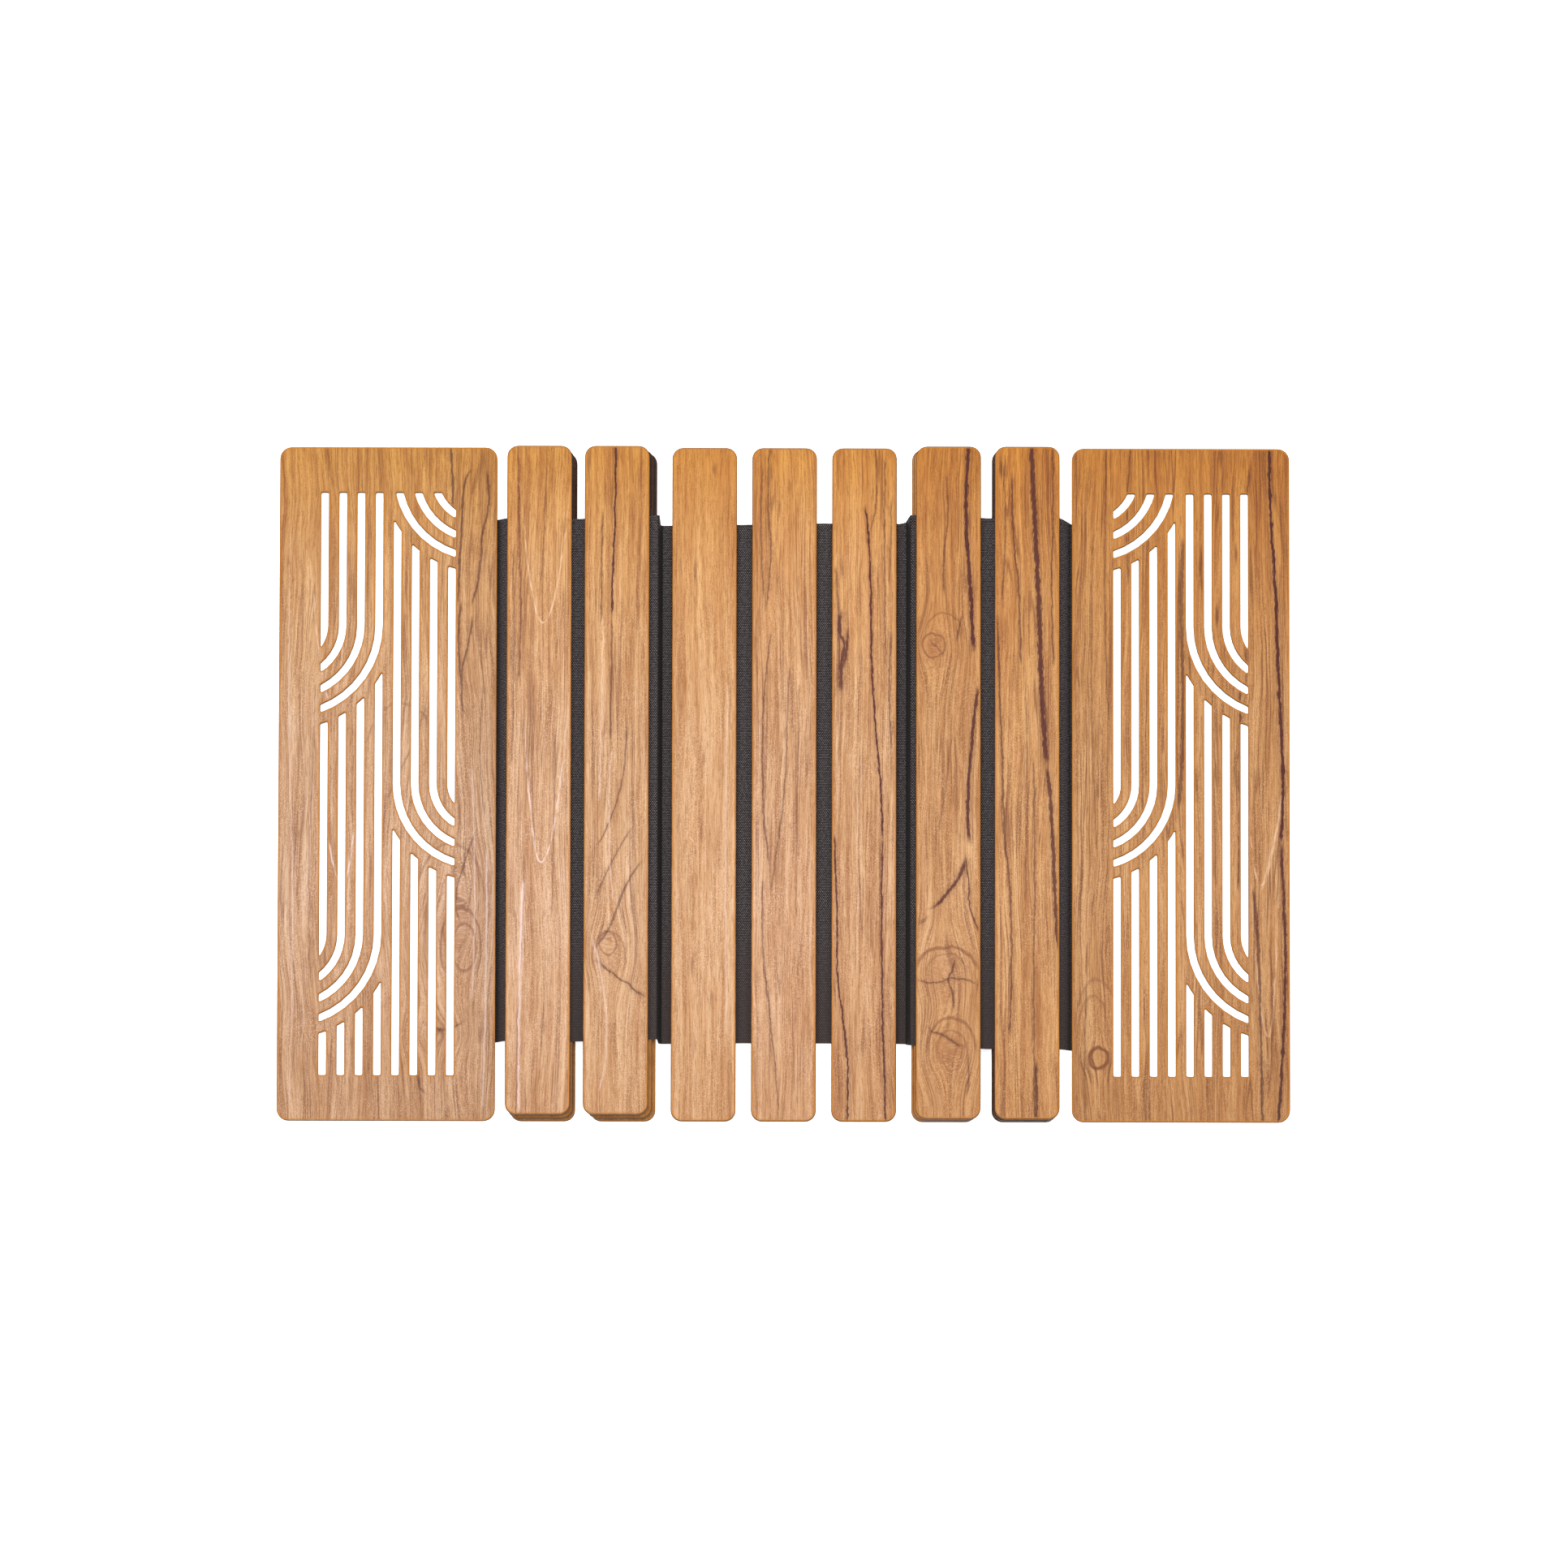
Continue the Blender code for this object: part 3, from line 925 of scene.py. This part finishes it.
    def _valley_shade(
        self, path: list[Vector], left: str, right: str, nodes: dict[str, Object]
    ) -> list[float]:
        """For each point of a path, its painted shade: 1 in the shaded valley below a riser's ledge
        and 0 elsewhere.
        """
        for unit, side, other in ((left, 1, right), (right, -1, left)):
            edge, ledge = self._ledge(unit, side, nodes)
            if abs(ledge - edge) > 0.5 * MM and self._level(other) < 2 * MM:
                past = [side * (point.x - ledge) / MM for point in path]
                return [max(0.0, min(1.0, p / 0.8 + 0.3) * min(1.0, 3.6 - p)) for p in past]
        return [0.0] * len(path)

    def _run(self, left: str, right: str, nodes: dict[str, Object], material: Material) -> Object:
        """Lays one run over a fold.

        Args:
            left: The unit that it starts under.
            right: The unit that it ends under.
            nodes: The CAD nodes by name.
            material: The cloth's material.

        Returns:
            The piece.
        """
        path = self._path(left, right, nodes)
        steps = len(path) - 1
        bm = bmesh.new()
        bmesh.ops.create_grid(bm, x_segments=steps, y_segments=self.rows, size=1.0)
        weave = bm.loops.layers.uv.new("weave")
        arc = [0.0]
        for a, b in pairwise(path):
            arc.append(arc[-1] + (b - a).length)
        # the painted shade of the valley, for each vertex
        crease_shade = bm.verts.layers.float.new("crease_shade")
        valley = self._valley_shade(path, left, right, nodes)
        start = path[0].x
        for vertex in bm.verts:
            step = round((vertex.co.x + 1) / 2 * steps)
            share = (vertex.co.y + 1) / 2
            point = path[step]
            back, front = self._edge_y(point.x)
            y = front + (back - front) * share
            for loop in vertex.link_loops:
                loop[weave].uv = ((start + arc[step]) / MM, y / MM)
            vertex[crease_shade] = valley[step]
            vertex.co = (point.x, y, point.y)
        bmesh.ops.recalc_face_normals(bm, faces=bm.faces)
        if sum(f.normal.z for f in bm.faces) < 0:
            bmesh.ops.reverse_faces(bm, faces=bm.faces)
        bmesh.ops.translate(bm, vec=(0, 0, -self.thickness / 2), verts=bm.verts)
        bmesh.ops.solidify(bm, geom=bm.faces[:], thickness=-self.thickness)
        piece = mesh_object(f"cloth_run_{left}_to_{right}", bm, [material])
        replaced = [f"cloth_{left}"] + ([f"cloth_{right}"] if right == UNITS[-1] else [])
        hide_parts(*replaced)
        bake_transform(piece)
        return piece


# ---- the veneers of this mat

# Each veneer's tone holds the wood's own tone and a painted light fall-off: the plates on the right
# are painted darker.
VENEERS: dict[str, Veneer] = {}


VENEERS["end_left_panel"] = Veneer(
    seed=11.0,
    tone=(0.88, 0.93, 1.08),
    wander=9.0,
    knots=(Knot(40, -82, 17, 34, 0.45), Knot(30, -150, 12, 10, 0.35)),
    arcs=(
        Arc(44, -98, 12, 24, 0.9, 0.6, -0.6),
        Arc(46, -98, 7, 14, 0.8, 0.55),
        Arc(38, -70, 20, 34, 0.9, 0.45, 0.1),
        Arc(8, 10, 22, 38, 0.8, 0.35, 0.3),
    ),
    vees=(Vee(-33, 47, 0.5, 0.9), Vee(-26, -60, 0.35, 0.8)),
    streaks=(
        line(1.3, 0.8, (36.7, 201), (38, 182), (37.9, 163)),
        line(1.2, 0.75, (51.4, 188), (45.8, 182), (43.6, 157), (42.1, 126), (41.4, 107)),
        line(1.2, 0.75, (58.4, 188), (59.4, 165), (56.1, 151), (54.5, 129), (49.9, 107)),
        line(1.1, 0.7, (50, 100), (48, 84), (44, 66), (45, 40)),
        line(1.3, 0.75, (43.4, 109), (42, 90), (43, 63)),
        line(0.9, 0.45, (57, 60), (55, 20), (58, -20)),
        line(0.9, 0.45, (22, 46), (18, 30), (8, 8), (0, -10)),
        line(0.9, 0.6, (52, -30), (46, -48), (41, -70), (44, -84)),
        line(1.4, 0.65, (22, -143), (32, -147), (46, -142)),
        line(1.0, 0.6, (17, -160), (19, -176), (24, -186)),
        line(0.7, 0.35, (-43, 60), (-44, 20), (-46, -40), (-45, -120)),
        line(0.6, 0.4, (-58, 150), (-59, 60), (-56, -60), (-57, -190), pale=True),
        line(0.8, 0.5, (59, -40), (59, -120), (57, -195), pale=True),
        line(0.6, 0.4, (50, 10), (52, -60), (51, -130), pale=True),
    ),
)

VENEERS["slat_1"] = Veneer(
    seed=23.0,
    tone=(0.96, 1.00, 1.14),
    vees=(Vee(2.3, 95, 0.43, 0.33), Vee(1.4, -48, 0.83, 0.36)),
    streaks=(
        line(0.9, 0.6, (-12.5, 198), (-12, 150), (-11, 100), (-12, 60)),
        line(0.8, 0.5, (-15.5, 140), (-15, 60), (-16, 10)),
        line(0.7, 0.45, (-8.0, -40), (-9.5, -90), (-12, -150), (-12.5, -200)),
        line(1.0, 0.7, (-9.0, -59), (-10.6, -110), (-11.1, -160), (-11.1, -197), pale=True),
        line(0.6, 0.45, (4, 190), (3, 160), (1, 120)),
        line(0.6, 0.45, (10, 30), (9, -30), (8, -80)),
        line(0.5, 0.4, (-3, 60), (-4, 10), (-2, -40)),
    ),
)

VENEERS["slat_2"] = Veneer(
    seed=37.0,
    tone=(0.94, 0.96, 1.01),
    knots=(Knot(-4.6, -100, 11, 16, 0.35),),
    arcs=(Arc(-4.6, -96, 5, 7, 0.8, 0.5), Arc(-4, -104, 10, 15, 0.8, 0.4, -0.5)),
    streaks=(
        line(1.1, 1.0, (-0.9, 201), (-1.2, 160), (-2.4, 125), (-2.8, 99)),
        line(0.8, 0.6, (-2.8, 99), (-3.2, 60), (-3.6, 25)),
        line(0.9, 0.65, (-8.6, 160), (-9.0, 130), (-9.2, 95)),
        line(0.9, 0.6, (6.1, 34), (3.7, 3), (-5.9, -28), (-12, -39)),
        line(0.9, 0.55, (8.5, -28), (-4.6, -52), (-12, -69)),
        line(1.2, 0.65, (15, -47), (4.9, -64), (-3.5, -86), (-12, -98)),
        line(1.1, 0.7, (18.1, -128), (2, -117), (-12, -106)),
        line(0.7, 0.5, (-10, -10), (-9, 40), (-8, 100), pale=True),
        line(0.6, 0.5, (-3, 20), (-4, -30), (-2, -70), pale=True),
        line(0.9, 0.4, (-15, -90), (-5, -150), (-10, -185), pale=True),
    ),
)

VENEERS["slat_3"] = Veneer(
    seed=41.0,
    tone=(0.95, 0.94, 0.94),
    lines=0.12,
    wander=3.0,
    flecks=(
        Fleck(5.9, 188, 1.9, 5, 0.55),
        Fleck(2, 198, 1.5, 4, 0.4),
        Fleck(-5.4, 127, 1.3, 11, 0.6),
        Fleck(-14, 130, 1.0, 8, 0.35),
        Fleck(-0.1, 15, 1.3, 6, 0.5),
        Fleck(-1.3, -28, 1.1, 9, 0.55),
        Fleck(-6.5, -108, 1.3, 9, 0.55),
        Fleck(5, -127, 1.3, 5, 0.5),
        Fleck(-6, -155, 1.8, 12, 0.3),
    ),
    streaks=(line(0.8, 0.4, (14, 60), (13, -40), (14, -150), pale=True),),
)

VENEERS["slat_4"] = Veneer(
    seed=59.0,
    tone=(0.95, 0.95, 1.03),
    flecks=(
        Fleck(-8, 186, 1.2, 8, 0.5),
        Fleck(-3, 165, 1.2, 7, 0.5),
        Fleck(-11, 150, 1.1, 10, 0.5),
        Fleck(3, 178, 1.0, 6, 0.4),
    ),
    streaks=(
        line(1.0, 0.6, (-9, 201), (-10, 170), (-8, 140), (-11, 105)),
        line(0.9, 0.5, (-13, 190), (-14, 150), (-12, 110)),
        line(1.0, 0.65, (-8, 90), (-12, 50), (-13, 20), (-12, -15), (-9, -48)),
        line(0.9, 0.55, (3, 70), (1.5, 30), (0, -5), (-5, -45), (-7.5, -64)),
        line(0.9, 0.6, (-12.5, -57), (-12, -100), (-7, -148), (-2.5, -195)),
        line(0.6, 0.4, (9, 60), (8, 0), (7, -80)),
    ),
)

VENEERS["slat_5"] = Veneer(
    seed=67.0,
    tone=(0.93, 0.90, 0.89),
    streaks=(
        line(1.0, 1.0, (0.5, 167), (3.5, 126), (4.5, 73), (6.5, 37), (9.5, 3), (11.1, -33)),
        line(1.0, 0.95, (11.1, -33), (10.5, -76), (11.1, -134), (13.3, -201)),
        line(
            1.0, 0.95, (-17.5, -30), (-16.1, -74), (-14.9, -122), (-12, -141), (-10.1, -158),
            (-9.5, -201),
        ),
        line(2.2, 0.9, (-13.2, 104), (-14.7, 94), (-12, 84), (-14, 70), (-13.7, 54)),
        line(1.3, 0.85, (-9.8, 93), (-10.6, 79), (-13, 68)),
        line(0.9, 0.6, (-16, 60), (-15, 90), (-17, 130)),
        line(0.9, 0.65, (16, 92), (15, 50), (16.5, 20)),
        line(0.8, 0.6, (6, 201), (7, 170), (3, 150)),
        line(0.8, 0.6, (12, 195), (12, 120), (13, 70)),
        line(0.7, 0.5, (16, 170), (15, 120)),
        line(0.6, 0.4, (-2, 20), (-3, -40), (-1, -90)),
    ),
)

VENEERS["slat_6"] = Veneer(
    seed=71.0,
    tone=(0.86, 0.79, 0.67),
    wander=7.0,
    knots=(
        Knot(-8, 80, 10, 15, 0.50),
        Knot(-2, -115, 16, 22, 0.42),
        Knot(2, -160, 15, 16, 0.30),
    ),
    arcs=(
        Arc(-8.7, 82, 7, 7, 0.9, 0.6),
        Arc(-3, 88, 11, 13, 0.8, 0.45, 0.0),
        Arc(-1, -112, 18, 14, 1.4, 0.65, 0.1),
        Arc(-1, -114, 12, 12, 0.8, 0.4, 0.0),
        Arc(2, -158, 14, 18, 1.1, 0.55, -0.1),
        Arc(2, -160, 9, 12, 0.9, 0.4, -0.4),
    ),
    streaks=(
        line(2.1, 1.0, (12, 201), (10.3, 155), (12, 131), (14.9, 78)),
        line(1.9, 0.95, (18, 58), (14.9, 34), (12, -2), (11.6, -18), (12.4, -36)),
        line(1.0, 0.85, (10.3, -44), (12.1, -59), (12.6, -73), (15.8, -82), (18, -90)),
        line(1.7, 0.9, (10.3, -45), (7.1, -55), (-0.8, -66), (-5.8, -72), (-11.4, -76)),
        line(2.0, 0.7, (-11.4, -80), (-18.2, -84)),
        line(1.1, 0.75, (4.3, -104), (2, -113), (0.2, -117), (2.9, -126), (3.2, -136)),
        line(1.0, 0.65, (-18, -117), (-4.4, -119), (0.2, -117), (17.6, -120)),
        line(1.3, 0.65, (-13, -146), (-3, -151), (10, -158)),
        line(1.0, 0.6, (11.6, -162), (12, -178), (11, -186)),
        line(0.9, 0.65, (-1.4, 185), (-0.4, 160), (-3, 130), (-2, 112)),
        line(1.1, 0.7, (8, 100), (6, 92), (5, 84)),
        line(0.8, 0.55, (-12, 86), (-6, 80), (-3, 76)),
        line(0.7, 0.4, (2, 40), (0, 10), (-6, -30)),
    ),
)

VENEERS["slat_7"] = Veneer(
    seed=83.0,
    tone=(0.87, 0.78, 0.61),
    lines=0.7,
    streaks=(
        line(2.8, 0.95, (2.6, 201), (4.5, 155), (6.9, 107), (8.6, 58), (11.3, 10)),
        line(1.9, 0.9, (11.3, 10), (14.2, -14), (15.2, -38), (16.8, -75), (18.5, -100)),
        line(1.1, 0.75, (-8.7, 185), (-8.7, 155), (-5.1, 115), (-3.9, 70)),
        line(
            1.1, 0.75, (-18, 100), (-16.5, 60), (-14.7, 8), (-12.9, -38), (-10.6, -57),
            (-10.3, -150),
        ),
        line(0.9, 0.6, (-14, 190), (-13, 150), (-15, 110)),
        line(1.1, 0.6, (-16, 196), (-15.5, 182)),
        line(1.0, 0.6, (3.9, 15), (4.4, -60), (4, -130), (4.6, -199)),
        line(1.0, 0.7, (15.3, 201), (15.3, 160), (14.5, 110), (15.8, 70)),
        line(0.7, 0.45, (-1, 60), (0, 0), (-1, -70)),
        line(1.3, 0.8, (5, -166), (5.9, -201)),
    ),
)

VENEERS["end_right_panel"] = Veneer(
    seed=103.0,
    tone=(0.80, 0.71, 0.55),
    wander=6.0,
    lines=0.75,
    knots=(Knot(-48.7, -162.5, 7, 7, 0.12),),
    arcs=(
        Arc(-48.7, -163, 5.6, 6.0, 1.6, 0.85),
        Arc(-50, -150, 13, 34, 0.7, 0.35, 0.1),
        Arc(-52, -150, 9, 24, 0.7, 0.35, 0.1),
    ),
    vees=(Vee(47, -60, 0.9, 0.34), Vee(52, -150, 0.8, 2.4)),
    flecks=(
        Fleck(31, 165, 1.5, 22, 0.65),
        Fleck(33, 138, 1.3, 9, 0.7),
        Fleck(21.5, 101, 1.6, 9, 0.95),
        Fleck(12, 132, 1.4, 15, 0.95),
        Fleck(12.8, 120, 1.1, 6, 0.85),
    ),
    streaks=(
        line(1.7, 1.0, (52.6, 201), (53.1, 172), (56.1, 119), (58.6, 53), (60.6, -2), (59.4, -35)),
        line(1.7, 0.95, (59.4, -35), (61.2, -73), (61.9, -111), (60.2, -160), (57.6, -201)),
        line(1.1, 0.65, (41, 190), (39, 150), (40, 110)),
        line(2.0, 0.7, (1.6, 147), (0.5, 100), (1.4, 40), (-1, -13)),
        line(1.0, 0.65, (-3, 120), (-3.5, 60), (-2, 10)),
        line(1.0, 0.6, (6, 140), (5, 100), (6, 50)),
        line(0.9, 0.5, (20, 90), (19, 40), (21, 0)),
        line(1.3, 0.8, (35.5, 60), (35, 20), (35, -15), (34, -62)),
        line(1.5, 0.75, (43, -61), (46, -100), (47.2, -150), (48.4, -201)),
        line(1.0, 0.5, (53, -95), (54, -140), (52, -185)),
        line(1.0, 0.6, (-30, 198), (-32, 160), (-31, 120)),
        line(0.7, 0.5, (-44, 200), (-45, 120), (-43, 40)),
        line(0.7, 0.4, (-52, 150), (-53, 60), (-50, -40)),
        line(0.9, 0.5, (-56, -120), (-57, -170), (-56, -198)),
        line(0.8, 0.55, (59.3, -13), (55, -35), (47.4, -64), pale=True),
    ),
)

# The riser tones are dark for 1, 2 and 7, partly for char and partly as painted shade.
RISERS: dict[str, Veneer] = {
    "1": RiserVeneer(seed=131.0, tone=(0.62, 0.48, 0.24)),
    "2": RiserVeneer(seed=137.0, tone=(0.66, 0.50, 0.24)),
    "6": RiserVeneer(seed=139.0, tone=(0.90, 0.74, 0.46), bright_from=HALF_LENGTH_MM),
    "7": RiserVeneer(seed=149.0, tone=(0.50, 0.36, 0.18), bright_from=-HALF_LENGTH_MM - 60.0),
}


@dataclass(frozen=True)
class Mat:
    """The whole mat."""

    cloth: Cloth = field(default_factory=Cloth)

    def build(self, nodes: dict[str, Object]) -> list[Object]:
        """Builds the plates, then the riser plies, then the cloth.

        Args:
            nodes: The CAD nodes by name.

        Returns:
            Every piece.
        """
        pieces = []
        for node, veneer in VENEERS.items():
            body = f"{node.removeprefix('end_')}_unit"
            pieces.append(CutPlate(node, body, veneer, "face_veneer").build(nodes))
        for node in sorted(n for n in nodes if n.startswith("riser_")):
            body = f"slat_{node[-1]}_unit"
            ply = CutPlate(node, body, RISERS[node[-1]], "riser_ply", rim=0.6 * MM)
            pieces.append(ply.build(nodes))
        return pieces + self.cloth.build(nodes)


@dataclass(frozen=True)
class Studio:
    """A white sweep under an even overhead light, with a long lens above the mat."""

    view_width: float = 0.9303  # what the picture's width shows, at the height of the plates
    distance: float = 9.0
    elevation: float = 83.5  # degrees above the floor
    roll: float = 0.12  # degrees
    sensor: float = 36.0  # mm
    glow: float = 0.75  # of the floor, like a light table's, so that it is white in the slots too

    def build(self) -> None:
        """Sets the floor, the lights and the camera."""
        self._floor()
        self._lights()
        self._camera()
        scene = bpy.context.scene
        scene.view_settings.view_transform = "Standard"
        scene.view_settings.look = "None"

    def _floor(self) -> None:
        """A pale floor just under the mat."""
        g = Graph("white_floor")
        grain = g.noise(g.node("ShaderNodeTexCoord").outputs["Object"], 2.0)
        g.feed(g.surface.inputs["Base Color"], g.mix(grain, (0.86, 0.86, 0.86), (0.88, 0.88, 0.88)))
        g.surface.inputs["Roughness"].default_value = 0.9
        g.surface.inputs["Emission Color"].default_value = (1.0, 1.0, 1.0, 1.0)
        g.surface.inputs["Emission Strength"].default_value = self.glow
        bm = bmesh.new()
        bmesh.ops.create_grid(bm, x_segments=1, y_segments=1, size=6.0)
        bmesh.ops.translate(bm, vec=(0, 0, -0.3 * MM), verts=bm.verts)
        mesh_object("floor", bm, [g.material])

    def _lights(self) -> None:
        """A bright white room, and two large soft lights."""
        world = bpy.data.worlds.new("white_room")
        world.use_nodes = True
        background = world.node_tree.nodes["Background"]
        background.inputs["Color"].default_value = (1.0, 1.0, 1.0, 1.0)
        background.inputs["Strength"].default_value = 1.0
        bpy.context.scene.world = world
        for name, place, size, power in (
            ("overhead", (-0.5, 0.6, 2.6), 2.2, 62.0),
            ("side", (1.6, -1.4, 2.0), 1.4, 14.0),
        ):
            light = bpy.data.lights.new(name, "AREA")
            light.shape, light.size, light.energy = "DISK", size, power
            lamp = bpy.data.objects.new(name, light)
            lamp.location = place
            lamp.rotation_euler = (-Vector(place)).to_track_quat("-Z", "Y").to_euler()
            bpy.context.scene.collection.objects.link(lamp)

    def _camera(self) -> None:
        """A long lens high above the mat's front edge."""
        data = bpy.data.cameras.new("camera")
        data.sensor_width = self.sensor
        data.lens = self.sensor * self.distance / self.view_width
        data.clip_end = 4 * self.distance
        camera = bpy.data.objects.new("camera", data)
        turn = Euler((math.radians(90 - self.elevation), 0.0, math.radians(self.roll)))
        back = Vector((0.0, 0.0, self.distance))
        back.rotate(turn)
        camera.rotation_euler = turn
        camera.location = Vector((0.0, 0.0, 4 * MM)) + back
        bpy.context.scene.collection.objects.link(camera)
        bpy.context.scene.camera = camera


def main() -> None:
    """Loads the frame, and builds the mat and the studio."""
    logging.basicConfig(level=logging.INFO, format="%(name)s: %(message)s")
    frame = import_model()
    Studio().build()
    for piece in Mat().build(frame["nodes"]):
        LOG.info("%s: %d faces", piece.name, len(piece.data.polygons))


if __name__ == "__main__":
    main()
